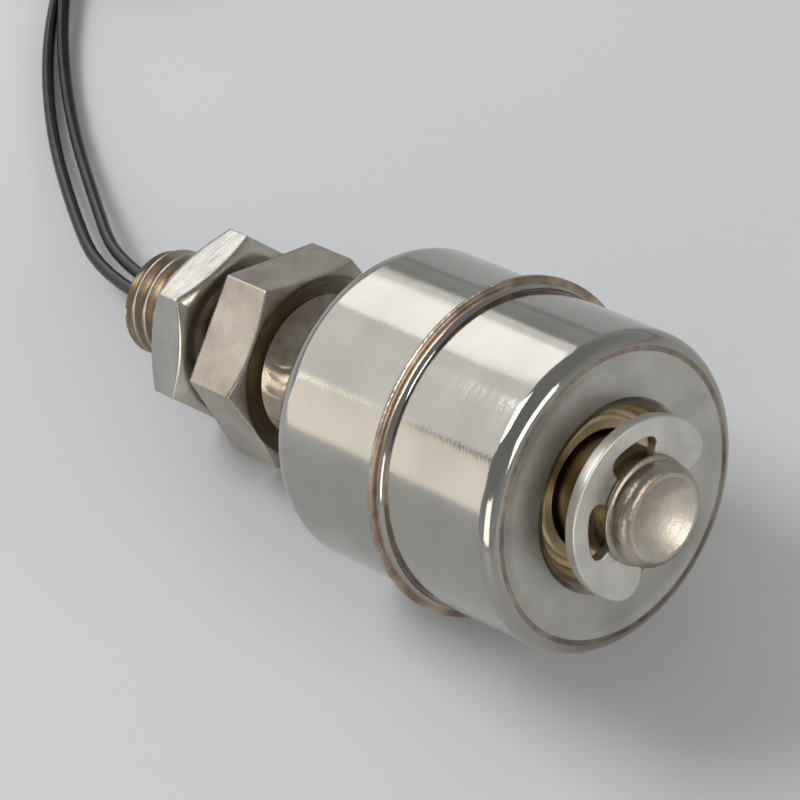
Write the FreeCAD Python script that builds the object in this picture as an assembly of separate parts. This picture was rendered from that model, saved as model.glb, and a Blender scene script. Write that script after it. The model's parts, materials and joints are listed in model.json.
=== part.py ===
"""Stainless float level switch, lying at rest on its float's rear edge and its nut.

The pieces are drawn along the stem: x runs to the tip, z is up, x = 0 is the float's seam.
at_rest() then lays them on the floor, z = 0, with the tip raised and the origin under the
middle of the switch.  Millimetres.
"""
import FreeCAD
import Part
import os
from math import acos, asin, atan2, cos, degrees, hypot, radians, sin, sqrt, tan
from FreeCAD import Vector

# ---- driving dimensions -------------------------------------------------------------------
STEM_R = 4.75            # stem tube outside
STEM_BORE_R = 3.1
STEM_TIP = 19.2
KNOB_R = 4.5             # knob past the groove
KNOB_ROUND = 0.85
GROOVE_R = 4.0           # retaining groove
GROOVE_BACK = 15.8
CLIP_R = 7.95
CLIP_THICK = 1.0
CLIP_GAP = 0.05          # clip to the groove's wall, each side

FLOAT_R = 14.0
FLOAT_WALL = 0.4
FLOAT_FRONT = 13.4       # seam to front face
FLOAT_REAR = 14.1        # seam to rear face
FRONT_CORNER_R = 1.4
REAR_CORNER_R = 2.4
SEAM_R = 15.0
SEAM_HALF_WIDTH = 0.4
MOUTH_R = 8.0            # drawn-in mouth at each end of the float
MOUTH_FLOOR_R = 7.0
MOUTH_DEPTH = 3.6
TUBE_IN_R = 5.15         # float's bore tube
TUBE_OUT_R = 5.55

HEX_FLATS = 17.0         # fixed hexagon
HEX_FRONT = -23.6
HEX_BACK = -29.6
HEX_FACE_R = 8.4
SHANK_R = 5.0            # M10 thread, outside
SHANK_END = -45.5
THREAD_ROOT_R = 4.1
THREAD_PITCH = 1.5
NUT_FLATS = 15.8         # a 16 mm nut at the low end of its tolerance
NUT_FRONT = -33.0
NUT_THICK = 4.5
NUT_FACE_R = 7.4
NUT_BORE_R = 5.06
COLLAR_R = 6.7           # weld collar at the hexagon's face

LEAD_D = 1.2             # each insulated lead
LEAD_SPLIT = 0.85        # lead centres either side of the axis at the shank's end
COIL_MEAN_R = 7.0
COIL_COLUMNS = 3
COIL_LAYERS = 4
TIE_THICK = 0.35
TIE_WIDTH = 3.0
BARE_LENGTH = 5.0        # stripped, tinned strands
STRAND_R = 0.32

# ---- what follows from them ---------------------------------------------------------------
HEX_CORNER_R = HEX_FLATS / sqrt(3)
NUT_CORNER_R = NUT_FLATS / sqrt(3)
CHAMFER = radians(30)
NUT_BACK = NUT_FRONT - NUT_THICK
# The float's rear edge and a flat of the nut touch the floor, and set the tilt.
NUT_LOW = NUT_BACK + (NUT_FLATS / 2 - NUT_FACE_R) * tan(CHAMFER)
EDGE_RUN = REAR_CORNER_R - FLOAT_REAR - NUT_LOW
EDGE_RISE = FLOAT_R - REAR_CORNER_R - NUT_FLATS / 2
TILT = atan2(EDGE_RISE, EDGE_RUN) + asin(REAR_CORNER_R / hypot(EDGE_RUN, EDGE_RISE))
AXIS_HEIGHT = NUT_FLATS / 2 * cos(TILT) - NUT_LOW * sin(TILT)
NUT_LOW_CORNER = 30.0    # lowest corners, degrees round from straight down
# Moves the frame under the middle between the shank's end and the knob.
BACK_X = SHANK_END * cos(TILT) - THREAD_ROOT_R * sin(TILT)
FRONT_X = (STEM_TIP - KNOB_ROUND) * cos(TILT) + (KNOB_R - KNOB_ROUND) * sin(TILT) + KNOB_ROUND
ORIGIN_SHIFT = -(BACK_X + FRONT_X) / 2
# The fixed hexagon is turned until one of its corners touches as well.
HEX_LOW_R = (AXIS_HEIGHT + HEX_BACK * sin(TILT)) / cos(TILT)
HEX_LOW_CORNER = -degrees(acos(HEX_LOW_R / HEX_CORNER_R))
COIL_BASE = TIE_THICK
COIL_IN_R = COIL_MEAN_R - COIL_COLUMNS * LEAD_D / 2
COIL_OUT_R = COIL_MEAN_R + COIL_COLUMNS * LEAD_D / 2
COIL_HEIGHT = COIL_LAYERS * LEAD_D
OUTER_TURN_R = COIL_OUT_R - LEAD_D / 2


# ---- shapes used by several pieces --------------------------------------------------------
def at_rest(shape):
    """Lay a piece drawn along the stem on the floor."""
    laid = shape.copy()
    laid.rotate(Vector(0, 0, 0), Vector(0, 1, 0), -degrees(TILT))
    laid.translate(Vector(ORIGIN_SHIFT, 0, AXIS_HEIGHT))
    return laid


def rest_point(x, y, z):
    """Where a point drawn along the stem lies at rest."""
    return Vector(ORIGIN_SHIFT + x * cos(TILT) - z * sin(TILT), y,
                  AXIS_HEIGHT + x * sin(TILT) + z * cos(TILT))


def turned(start, *steps):
    """Solid of revolution about x.  A step is an (x, r) point, or an arc's (middle, end)."""
    def at(point):
        return Vector(point[0], 0, point[1])
    edges = []
    here = start
    for step in list(steps) + [start]:
        if isinstance(step[0], tuple):
            middle, end = step
            edges.append(Part.Arc(at(here), at(middle), at(end)).toShape())
            here = end
        elif step != here:
            edges.append(Part.LineSegment(at(here), at(step)).toShape())
            here = step
    return Part.Face(Part.Wire(edges)).revolve(Vector(0, 0, 0), Vector(1, 0, 0), 360)


def rounded(centre, radius, start_angle, end_angle):
    """An arc step for turned(): angles in degrees from +x towards +r."""
    def on_arc(angle):
        return (centre[0] + radius * cos(radians(angle)), centre[1] + radius * sin(radians(angle)))
    return (on_arc((start_angle + end_angle) / 2), on_arc(end_angle))


def rod(radius, x_from, x_to, y=0.0, z=0.0):
    return Part.makeCylinder(radius, x_to - x_from, Vector(x_from, y, z), Vector(1, 0, 0))


def polar(x, r, angle):
    """A point at an angle round the stem, in degrees from straight up towards +y."""
    return Vector(x, r * sin(radians(angle)), r * cos(radians(angle)))


def hexagon(flats, back, front, low_corner, back_face_r, front_face_r):
    """Hexagonal prism along x, its corners turned down to a face circle at each end."""
    corner_r = flats / sqrt(3)
    corners = [polar(back, corner_r, 180 + low_corner + 60 * i) for i in range(7)]
    prism = Part.Face(Part.makePolygon(corners)).extrude(Vector(front - back, 0, 0))
    reach = corner_r + 1
    blank = turned((back, 0), (back, back_face_r),
                   (back + (reach - back_face_r) * tan(CHAMFER), reach),
                   (front - (reach - front_face_r) * tan(CHAMFER), reach),
                   (front, front_face_r), (front, 0))
    return prism.common(blank)


def ring_sector(x, thick, r_in, r_out, angle_from, angle_to):
    """Part of a flat ring, between two angles round the stem."""
    middle = (angle_from + angle_to) / 2
    outer = Part.Arc(polar(x, r_out, angle_from), polar(x, r_out, middle), polar(x, r_out, angle_to))
    inner = Part.Arc(polar(x, r_in, angle_to), polar(x, r_in, middle), polar(x, r_in, angle_from))
    side_one = Part.LineSegment(polar(x, r_out, angle_to), polar(x, r_in, angle_to))
    side_two = Part.LineSegment(polar(x, r_in, angle_from), polar(x, r_out, angle_from))
    outline = Part.Wire([outer.toShape(), side_one.toShape(), inner.toShape(), side_two.toShape()])
    return Part.Face(outline).extrude(Vector(thick, 0, 0))


def edges_along_x(shape, r_from, r_to):
    """Edges that run along the stem with their distance from it in a range."""
    chosen = []
    for edge in shape.Edges:
        ends = [v.Point for v in edge.Vertexes]
        if len(ends) == 2 and abs(abs(ends[0].x - ends[1].x) - edge.Length) < 1e-6:
            if r_from < sqrt(ends[0].y ** 2 + ends[0].z ** 2) < r_to:
                chosen.append(edge)
    return chosen


# ---- stem and hexagon ---------------------------------------------------------------------
def threaded_body():
    """Fixed hexagon with the M10 shank behind it, bored for the leads and the stem.
    The thread is drawn as rings at its pitch."""
    head = hexagon(HEX_FLATS, HEX_BACK, HEX_FRONT, HEX_LOW_CORNER, HEX_CORNER_R, HEX_FACE_R)
    outline = [(SHANK_END, THREAD_ROOT_R), (SHANK_END + 0.9, SHANK_R)]
    crest = SHANK_END + 1.1
    while crest + THREAD_PITCH < HEX_BACK:
        outline += [(crest, SHANK_R), (crest + 0.4, THREAD_ROOT_R), (crest + 0.9, THREAD_ROOT_R),
                    (crest + 1.3, SHANK_R)]
        crest += THREAD_PITCH
    shank = turned((SHANK_END, 0), *outline, (HEX_BACK, SHANK_R), (HEX_BACK, 0))
    bore = rod(STEM_BORE_R, SHANK_END, HEX_FRONT)
    stem_socket = rod(STEM_R, HEX_BACK + 1.6, HEX_FRONT)
    return head.fuse(shank).cut(bore).cut(stem_socket).removeSplitter()


def stem_tube():
    """Closed tube with the clip's groove and a dished knob at the tip."""
    back = HEX_BACK + 1.6
    groove_front = GROOVE_BACK + CLIP_THICK + 2 * CLIP_GAP
    lip_front = groove_front + 0.4
    edge = 0.08
    rim_r = KNOB_R - KNOB_ROUND
    outside = turned((back, 0), (back, STEM_R), (GROOVE_BACK, STEM_R), (GROOVE_BACK, GROOVE_R),
                     (groove_front, GROOVE_R), (groove_front, STEM_R - edge),
                     (groove_front + edge, STEM_R), (lip_front - edge, STEM_R),
                     (lip_front, STEM_R - edge),
                     (lip_front + 0.12, KNOB_R - 0.2), (lip_front + 0.3, KNOB_R),
                     (STEM_TIP - KNOB_ROUND, KNOB_R),
                     rounded((STEM_TIP - KNOB_ROUND, rim_r), KNOB_ROUND, 90, 0), (STEM_TIP, 0))
    dish_r = rim_r - 0.12
    dish_depth = 0.9
    ball_r = (dish_r ** 2 + dish_depth ** 2) / (2 * dish_depth)
    dish = Part.makeSphere(ball_r, Vector(STEM_TIP - dish_depth + ball_r, 0, 0))
    bore_end = STEM_TIP - 7.2
    bore = rod(STEM_BORE_R, back, bore_end)
    drill_point = Part.makeCone(STEM_BORE_R, 0, 1.8, Vector(bore_end, 0, 0), Vector(1, 0, 0))
    return outside.cut(dish).cut(bore.fuse(drill_point)).removeSplitter()


def weld_collar():
    """Weld that joins the stem to the hexagon, built up as a rounded neck."""
    return turned((HEX_FRONT, STEM_R), (HEX_FRONT, COLLAR_R),
                  ((HEX_FRONT + 1.35, COLLAR_R - 0.35), (HEX_FRONT + 2.6, STEM_R + 0.3)),
                  (HEX_FRONT + 2.9, STEM_R))


def locknut():
    """Thin hexagon nut on the shank, bevelled on both sides."""
    body = hexagon(NUT_FLATS, NUT_BACK, NUT_FRONT, NUT_LOW_CORNER, NUT_FACE_R, NUT_FACE_R)
    lead_in = 0.5
    bore = turned((NUT_BACK, 0), (NUT_BACK, NUT_BORE_R + lead_in), (NUT_BACK + lead_in, NUT_BORE_R),
                  (NUT_FRONT - lead_in, NUT_BORE_R), (NUT_FRONT, NUT_BORE_R + lead_in),
                  (NUT_FRONT, 0))
    return body.cut(bore)


def e_clip():
    """Stamped retaining clip: three prongs on the groove, two windows and a mouth."""
    middle_prong = -29.0
    prong_half = 15.0
    window_end = 67.5
    lobe_end = 123.5
    window_out_r = 6.25
    x = GROOVE_BACK + CLIP_GAP
    clip = ring_sector(x, CLIP_THICK, GROOVE_R + 0.03, CLIP_R,
                       middle_prong - lobe_end, middle_prong + lobe_end)
    for side in (-1, 1):
        angles = sorted(middle_prong + side * a for a in (prong_half, window_end))
        window = ring_sector(x, CLIP_THICK, GROOVE_R - 0.6, window_out_r, *angles)
        window = window.makeFillet(0.9, edges_along_x(window, window_out_r - 0.1, window_out_r + 0.1))
        clip = clip.cut(window)
    clip = clip.makeFillet(1.9, edges_along_x(clip, CLIP_R - 0.1, CLIP_R + 0.1))
    inner_corners = [e for e in edges_along_x(clip, GROOVE_R - 0.1, GROOVE_R + 0.1)
                     if e.Vertexes[0].Point.distanceToPoint(polar(x, GROOVE_R, middle_prong)) > 6.5]
    clip = clip.makeFillet(1.4, inner_corners)
    front_rim = [e for e in clip.Edges if e.BoundBox.XMin > x + CLIP_THICK - 1e-6]
    return clip.makeFillet(0.18, front_rim)


# ---- float --------------------------------------------------------------------------------
def float_cup(end, length, corner_r):
    """Drawn cup with its end face turned in to a funnel round the bore.  end is +1 or -1."""
    face = length
    inside = face - FLOAT_WALL
    floor = face - MOUTH_DEPTH
    lip = 0.6
    lip_in = lip - FLOAT_WALL
    hole_r = TUBE_OUT_R + 0.02
    profile = [(0, FLOAT_R), (face - corner_r, FLOAT_R),
               rounded((face - corner_r, FLOAT_R - corner_r), corner_r, 90, 0),
               (face, MOUTH_R + lip),
               rounded((face - lip, MOUTH_R + lip), lip, 0, -80),
               (floor, MOUTH_FLOOR_R), (floor, hole_r), (floor - FLOAT_WALL, hole_r),
               (floor - FLOAT_WALL, MOUTH_FLOOR_R + FLOAT_WALL),
               (face - lip + lip_in * cos(radians(80)), MOUTH_R + lip - lip_in * sin(radians(80))),
               rounded((face - lip, MOUTH_R + lip), lip_in, -80, 0),
               (inside, FLOAT_R - corner_r),
               rounded((face - corner_r, FLOAT_R - corner_r), corner_r - FLOAT_WALL, 0, 90),
               (0, FLOAT_R - FLOAT_WALL)]

    def flip(item):
        if isinstance(item[0], tuple):
            return (flip(item[0]), flip(item[1]))
        return (end * item[0], item[1])
    return turned(*[flip(item) for item in profile])


def float_seam():
    """Bead round the middle, where the two cups are welded lip to lip."""
    half = SEAM_HALF_WIDTH
    shoulder_r = SEAM_R - half
    return turned((-half, FLOAT_R), (-half, shoulder_r), ((0, SEAM_R), (half, shoulder_r)),
                  (half, FLOAT_R))


def float_bore_tube():
    """Thin tube through the float, flanged over the floor of each mouth."""
    front = FLOAT_FRONT - MOUTH_DEPTH
    rear = -(FLOAT_REAR - MOUTH_DEPTH)
    flange_r = MOUTH_FLOOR_R - 0.1
    thick = 0.35
    return turned((rear, TUBE_OUT_R), (rear, flange_r), (rear - thick, flange_r),
                  (rear - thick, TUBE_IN_R), (front + thick, TUBE_IN_R), (front + thick, flange_r),
                  (front, flange_r), (front, TUBE_OUT_R))


def ring_magnet():
    return rod(9.5, -4, 4).cut(rod(TUBE_OUT_R + 0.02, -4, 4))


def magnet_washer(x):
    thick = 0.5
    return rod(8.5, x, x + thick).cut(rod(TUBE_OUT_R + 0.02, x, x + thick))


# ---- reed contact inside the stem ---------------------------------------------------------
REED_Z = 0.9
REED_FROM = -8.0
REED_TO = 6.0
GLASS_R = 1.1
BLADE_R = 0.25
RETURN_Y = 0.85
RETURN_Z = -1.4
LEAD_TURN_X = -30.0      # where the leads leave the potting
JOINT_FROM = -14.0
RETURN_END = 9.0


def reed_glass():
    """Sealed glass envelope round the overlap of the two blades."""
    glass = rod(GLASS_R, REED_FROM, REED_TO, 0, REED_Z)
    hollow = rod(GLASS_R - 0.3, REED_FROM + 1.5, REED_TO - 1.5, 0, REED_Z)
    wires = rod(BLADE_R, REED_FROM, REED_TO, 0, REED_Z)
    return glass.cut(hollow).cut(wires)


def reed_blade(x_out, x_in, height):
    """Wire outside the glass, rolled flat inside it so that the two tips overlap."""
    seal = 1.5 if x_in > x_out else -1.5
    glass_end = REED_FROM if x_in > x_out else REED_TO
    round_part = rod(BLADE_R, min(x_out, glass_end + seal), max(x_out, glass_end + seal), 0, REED_Z)
    flat_from = min(glass_end + seal, x_in)
    flat_length = abs(x_in - glass_end - seal)
    flat = Part.makeBox(flat_length, 0.9, 0.14, Vector(flat_from, -0.45, REED_Z + height))
    return round_part.fuse(flat).removeSplitter()


def reed_sleeve():
    """Heat-shrunk sleeve that insulates the glass."""
    return rod(1.45, REED_FROM - 2, REED_TO + 1, 0, REED_Z).cut(rod(1.15, REED_FROM - 2, REED_TO + 1, 0, REED_Z))


def inside_lead(points):
    """One lead's insulated stretch inside the stem, straight from point to point."""
    solid = None
    for a, b in zip(points, points[1:]):
        piece = Part.makeCylinder(LEAD_D / 2, (b - a).Length, a, b - a)
        solid = piece if solid is None else solid.fuse(piece).fuse(Part.makeSphere(LEAD_D / 2, a))
    return solid.removeSplitter()


def lead_a_inside():
    start = Vector(SHANK_END, -LEAD_SPLIT, 0)
    return inside_lead([start, Vector(LEAD_TURN_X, -LEAD_SPLIT, 0), Vector(JOINT_FROM, 0, REED_Z)])


def lead_b_inside():
    start = Vector(SHANK_END, LEAD_SPLIT, 0)
    turn = Vector(LEAD_TURN_X, LEAD_SPLIT, 0)
    return inside_lead([start, turn, Vector(JOINT_FROM - 6, RETURN_Y, RETURN_Z),
                        Vector(RETURN_END, RETURN_Y, RETURN_Z)])


def near_joint():
    """Solder round the near blade's wire and lead A's strands."""
    return rod(0.5, JOINT_FROM, JOINT_FROM + 3, 0, REED_Z).cut(rod(BLADE_R, -12, -8, 0, REED_Z))


def far_joint():
    """Strands of lead B, bent back across the stem and soldered to the far blade."""
    start = Vector(RETURN_END, RETURN_Y, RETURN_Z)
    knee = Vector(RETURN_END + 1, RETURN_Y, RETURN_Z)
    end = Vector(RETURN_END + 1, 0, REED_Z)
    first = Part.makeCylinder(0.4, (knee - start).Length, start, knee - start)
    second = Part.makeCylinder(0.4, (end - knee).Length, knee, end - knee)
    solid = first.fuse(Part.makeSphere(0.4, knee)).fuse(second).fuse(Part.makeSphere(0.5, end))
    return solid.cut(rod(BLADE_R, REED_TO, RETURN_END + 2, 0, REED_Z)).removeSplitter()


def potting():
    """Resin that seals the leads into the shank, a little below its end."""
    plug = rod(STEM_BORE_R, SHANK_END + 0.4, LEAD_TURN_X)
    for side in (-1, 1):
        plug = plug.cut(rod(LEAD_D / 2, SHANK_END, LEAD_TURN_X, side * LEAD_SPLIT, 0))
    return plug


# ---- leads outside ------------------------------------------------------------------------
FLOOR_LINE = COIL_BASE + LEAD_D / 2        # height of a lead's centre once it is down
COIL_ENTRY = Vector(-79.6, 34.1, FLOOR_LINE)
COIL_HEADING = 128.5                       # degrees from +x, the way the leads run into the coil
COIL_CENTRE = COIL_ENTRY + Vector(OUTER_TURN_R * sin(radians(COIL_HEADING)),
                                  -OUTER_TURN_R * cos(radians(COIL_HEADING)), 0)
TAIL_ANGLE = 90.0                          # place on the coil where the tails leave it


def on_coil(angle, r, z):
    return Vector(COIL_CENTRE.x + r * cos(radians(angle)), COIL_CENTRE.y + r * sin(radians(angle)), z)


LEAD_A_RUN = [rest_point(SHANK_END, -LEAD_SPLIT, 0), rest_point(SHANK_END - 8.5, -0.5, 0),
              Vector(-48.7, 4.3, 2.4), Vector(-58.7, 10.7, 1.1), Vector(-67.4, 18.4, FLOOR_LINE),
              Vector(-73.8, 26.8, FLOOR_LINE), COIL_ENTRY]
LEAD_B_RUN = [rest_point(SHANK_END, LEAD_SPLIT, 0), rest_point(SHANK_END - 8.0, 1.3, 0),
              Vector(-47.7, 6.3, 2.3), Vector(-57.5, 12.4, 1.2), Vector(-66.2, 19.4, 1.2),
              Vector(-73.2, 27.2, 2.0), COIL_ENTRY + Vector(0, 0, LEAD_D)]
TAIL_START = on_coil(TAIL_ANGLE, OUTER_TURN_R, 0)
TAIL_WAY = Vector(sin(radians(TAIL_ANGLE)), -cos(radians(TAIL_ANGLE)), 0)
TAIL_LEFT = Vector(-TAIL_WAY.y, TAIL_WAY.x, 0)


def tail(*steps):
    """Tail points from (forward, left, height) steps off the coil."""
    return [TAIL_START + TAIL_WAY * f + TAIL_LEFT * l + Vector(0, 0, z) for f, l, z in steps]


LEAD_A_TAIL = tail((0, 0, COIL_BASE + 2.5 * LEAD_D), (5, -0.1, 2.4), (9.5, -0.7, 0.61), (15, -2.2, 0.61))
LEAD_B_TAIL = tail((0, 0, COIL_BASE + 3.5 * LEAD_D), (5, 0.7, 3.6), (10, 2.1, 0.61), (16, 4.8, 0.61))


def cord_path(points):
    """Straight runs joined by tangent arcs as large as the runs allow."""
    edges = []
    radii = []
    here = points[0]
    for before, corner, after in zip(points, points[1:], points[2:]):
        way_in = (corner - before).normalize()
        way_out = (after - corner).normalize()
        turn = way_in.getAngle(way_out)
        shorter = min((corner - before).Length, (after - corner).Length)
        set_back = 0.45 * shorter
        radius = set_back / tan(turn / 2)
        arc_start = corner - way_in * set_back
        arc_end = corner + way_out * set_back
        inward = (way_out - way_in).normalize()
        centre = corner + inward * sqrt(radius ** 2 + set_back ** 2)
        arc_middle = centre - inward * radius
        edges.append(Part.LineSegment(here, arc_start).toShape())
        edges.append(Part.Arc(arc_start, arc_middle, arc_end).toShape())
        radii.append(round(radius, 1))
        here = arc_end
    edges.append(Part.LineSegment(here, points[-1]).toShape())
    return Part.Wire(edges), radii


def cord_tube(name, points):
    path, radii = cord_path(points)
    way = (points[1] - points[0]).normalize()
    section = Part.Face(Part.Wire(Part.makeCircle(LEAD_D / 2, points[0], way)))
    solid = path.makePipe(section)
    expected = section.Area * path.Length
    print(name, "length", round(path.Length, 1), "radii", radii,
          "volume over expected", round(solid.Volume / expected, 4))
    return solid


def lead_coil():
    """Both leads wound together: outer shape of the turns."""
    corner = 0.5
    profile = Part.makeBox(COIL_OUT_R - COIL_IN_R, 1, COIL_HEIGHT, Vector(COIL_IN_R, 0, COIL_BASE))
    profile = profile.makeFillet(corner, [e for e in profile.Edges if abs(e.Length - 1) < 1e-6
                                          and abs(e.Vertexes[0].Y - e.Vertexes[1].Y) > 0.5])
    face = [f for f in profile.Faces if abs(f.CenterOfMass.y) < 1e-6][0]
    ring = face.revolve(Vector(0, 0, 0), Vector(0, 0, 1), 360)
    ring.translate(Vector(COIL_CENTRE.x, COIL_CENTRE.y, 0))
    return ring


def coil_tie():
    """Flat twist tie closed round the coil's turns, its two ends twisted at the outside."""
    gap = 0.02
    r_in = COIL_IN_R - gap
    r_out = COIL_OUT_R + gap
    outer = Part.makeBox(r_out - r_in + 2 * TIE_THICK, TIE_WIDTH, COIL_HEIGHT + 2 * TIE_THICK,
                         Vector(r_in - TIE_THICK, -TIE_WIDTH / 2, 0))
    inner = Part.makeBox(r_out - r_in, TIE_WIDTH, COIL_HEIGHT + 0.04,
                         Vector(r_in, -TIE_WIDTH / 2, TIE_THICK - 0.02))
    band = outer.cut(inner)
    for height in (1.6, 2.5):
        ear = Part.makeBox(4.0, TIE_WIDTH * 0.5, TIE_THICK,
                           Vector(r_out + TIE_THICK, -TIE_WIDTH * 0.25, height))
        band = band.fuse(ear)
    band = band.removeSplitter()
    band.rotate(Vector(0, 0, 0), Vector(0, 0, 1), 20)
    band.translate(Vector(COIL_CENTRE.x, COIL_CENTRE.y, 0))
    return band


def bare_end(points):
    """Tinned strands past the end of a lead's insulation."""
    way = (points[-1] - points[-2]).normalize()
    return Part.makeCylinder(STRAND_R, BARE_LENGTH, points[-1], way)


# ---- the switch ---------------------------------------------------------------------------
def main():
    along_stem = {
        "threaded_body": threaded_body(),
        "stem_tube": stem_tube(),
        "weld_collar": weld_collar(),
        "locknut": locknut(),
        "e_clip": e_clip(),
        "float_front_cup": float_cup(1, FLOAT_FRONT, FRONT_CORNER_R),
        "float_rear_cup": float_cup(-1, FLOAT_REAR, REAR_CORNER_R),
        "float_seam": float_seam(),
        "float_bore_tube": float_bore_tube(),
        "ring_magnet": ring_magnet(),
        "magnet_washer_front": magnet_washer(4.0),
        "magnet_washer_rear": magnet_washer(-4.5),
        "reed_glass": reed_glass(),
        "reed_blade_near": reed_blade(-12.0, 0.0, 0.02),
        "reed_blade_far": reed_blade(11.0, -2.0, -0.16),
        "reed_sleeve": reed_sleeve(),
        "lead_a_inside": lead_a_inside(),
        "lead_b_inside": lead_b_inside(),
        "solder_near": near_joint(),
        "solder_far": far_joint(),
        "potting": potting(),
    }
    nodes = {name: at_rest(shape) for name, shape in along_stem.items()}
    nodes["lead_a_run"] = cord_tube("lead_a_run", LEAD_A_RUN)
    nodes["lead_b_run"] = cord_tube("lead_b_run", LEAD_B_RUN)
    nodes["lead_a_tail"] = cord_tube("lead_a_tail", LEAD_A_TAIL)
    nodes["lead_b_tail"] = cord_tube("lead_b_tail", LEAD_B_TAIL)
    nodes["lead_coil"] = lead_coil()
    nodes["coil_tie"] = coil_tie()
    nodes["lead_a_strands"] = bare_end(LEAD_A_TAIL)
    nodes["lead_b_strands"] = bare_end(LEAD_B_TAIL)
    print("tilt", round(degrees(TILT), 3), "fixed hexagon's low corner", round(HEX_LOW_CORNER, 2))
    os.makedirs("parts", exist_ok=True)
    for name, shape in nodes.items():
        low = min(point.z for point in shape.tessellate(0.02)[0])
        print(name, "valid", shape.isValid(), "solids", len(shape.Solids), "volume", round(shape.Volume, 2),
              "low z", round(low, 3))
        shape.exportStep("parts/" + name + ".step")


main()
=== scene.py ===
import bmesh
import bpy
import json
from math import asin, atan, ceil, cos, pi, radians, sin, sqrt, tan
from mathutils import Matrix, Vector, noise


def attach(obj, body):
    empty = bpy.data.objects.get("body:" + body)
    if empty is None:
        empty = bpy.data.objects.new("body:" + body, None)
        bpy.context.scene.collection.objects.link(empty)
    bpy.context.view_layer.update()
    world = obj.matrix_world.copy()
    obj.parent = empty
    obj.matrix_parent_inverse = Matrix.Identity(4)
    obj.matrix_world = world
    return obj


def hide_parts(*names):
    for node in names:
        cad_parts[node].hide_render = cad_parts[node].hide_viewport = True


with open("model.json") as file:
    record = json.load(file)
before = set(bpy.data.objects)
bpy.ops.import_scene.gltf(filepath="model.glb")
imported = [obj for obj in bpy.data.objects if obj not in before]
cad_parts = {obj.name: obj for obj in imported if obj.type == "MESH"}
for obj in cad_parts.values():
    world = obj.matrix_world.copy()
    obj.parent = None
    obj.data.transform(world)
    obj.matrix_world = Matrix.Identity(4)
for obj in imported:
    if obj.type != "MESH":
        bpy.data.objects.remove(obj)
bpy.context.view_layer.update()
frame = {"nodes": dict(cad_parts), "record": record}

MM = 0.001

# ---- Camera ---------------------------------------------------------------------------------
# A long lens looks down past the tip at the whole switch, with the float nearest, and leans
# a little, so that the stem runs from corner to corner of the picture.
camera = bpy.data.objects.new("camera", bpy.data.cameras.new("camera"))
camera.data.lens = 202.5
camera.data.sensor_width = 36
camera.location = Vector((202.237, -147.038, 306.66)) * MM
look_round = Matrix.Rotation(radians(53.95), 4, "Z")
look_down = Matrix.Rotation(radians(90 - 49.54), 4, "X")
lean = Matrix.Rotation(radians(-14.25), 4, "Z")
camera.rotation_euler = (look_round @ look_down @ lean).to_euler()
bpy.context.collection.objects.link(camera)
bpy.context.scene.camera = camera
bpy.context.scene.view_settings.view_transform = "Standard"

# ---- Leads ----------------------------------------------------------------------------------
# Two thin stranded wires in soft black PVC come out of the shank's end, sag to the floor and
# run side by side to a small coil, where the spare length is wound up for storage.
record = frame["record"]
stem_way = Vector(record["behaviour"]["joints"][0]["axis"])
thread_mount = [m for m in record["mounts"] if m["name"] == "process_thread"][0]
# Stem frame: x along the stem to the tip, z up, x = 0 at the float's seam.
MOUNT_TO_SEAM = 41
AT_REST = (Matrix.Translation(Vector(thread_mount["pos_m"]) + MOUNT_TO_SEAM * MM * stem_way)
           @ Matrix.Rotation(-asin(stem_way.z), 4, "Y"))
LEAD_D = 1.2
SHANK_END = -45.5
FLOOR_LINE = 0.95


def rest_point(x, y, z):
    """Place at rest, in millimetres, of a point in the stem frame."""
    return AT_REST @ (Vector((x, y, z)) * MM) / MM


COIL_ENTRY = Vector((-79.6, 34.1, FLOOR_LINE))
HEADING = radians(128.5)
aside = Vector((sin(HEADING), -cos(HEADING), 0))
COLUMN_R = (8.2, 7.0, 5.8)
coil_centre = COIL_ENTRY + aside * COLUMN_R[0]


def coil_turns(layers):
    """Points of the turns: out to in over one layer, then in to out over the next."""
    columns = [(r, layers[0]) for r in COLUMN_R] + [(r, layers[1]) for r in reversed(COLUMN_R)]
    start = HEADING + pi / 2
    steps = 16
    points = []
    for i in range(1, int((6 + (start - pi / 2) / (2 * pi)) * steps)):
        turn = i / steps
        held = min(int(turn), 5)
        nxt = min(held + 1, 5)
        shift = max(0.0, (turn - held - 0.75) / 0.25) if held < 5 else 0.0
        r = columns[held][0] * (1 - shift) + columns[nxt][0] * shift
        z = columns[held][1] * (1 - shift) + columns[nxt][1] * shift
        angle = start - 2 * pi * turn
        points.append(coil_centre + Vector((r * cos(angle), r * sin(angle), z - FLOOR_LINE)))
    return points


def tail(*steps):
    """Points past the coil, each given as millimetres ahead, to the left, and its height."""
    off = coil_centre + Vector((0, COLUMN_R[0], 0))
    return [off + Vector((f, l, z - FLOOR_LINE)) for f, l, z in steps]


def lead(name, points):
    """One open NURBS spline through the lead's whole way, with a round section."""
    curve = bpy.data.curves.new(name, "CURVE")
    curve.dimensions = "3D"
    spline = curve.splines.new("NURBS")
    spline.points.add(len(points) - 1)
    for point, place in zip(spline.points, points):
        point.co = (*(place * MM), 1)
    spline.order_u = 3
    spline.use_endpoint_u = True
    spline.resolution_u = 6
    curve.bevel_depth = LEAD_D / 2 * MM
    curve.bevel_resolution = 5
    curve.use_fill_caps = True
    piece = bpy.data.objects.new(name, curve)
    bpy.context.collection.objects.link(piece)
    return piece


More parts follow.
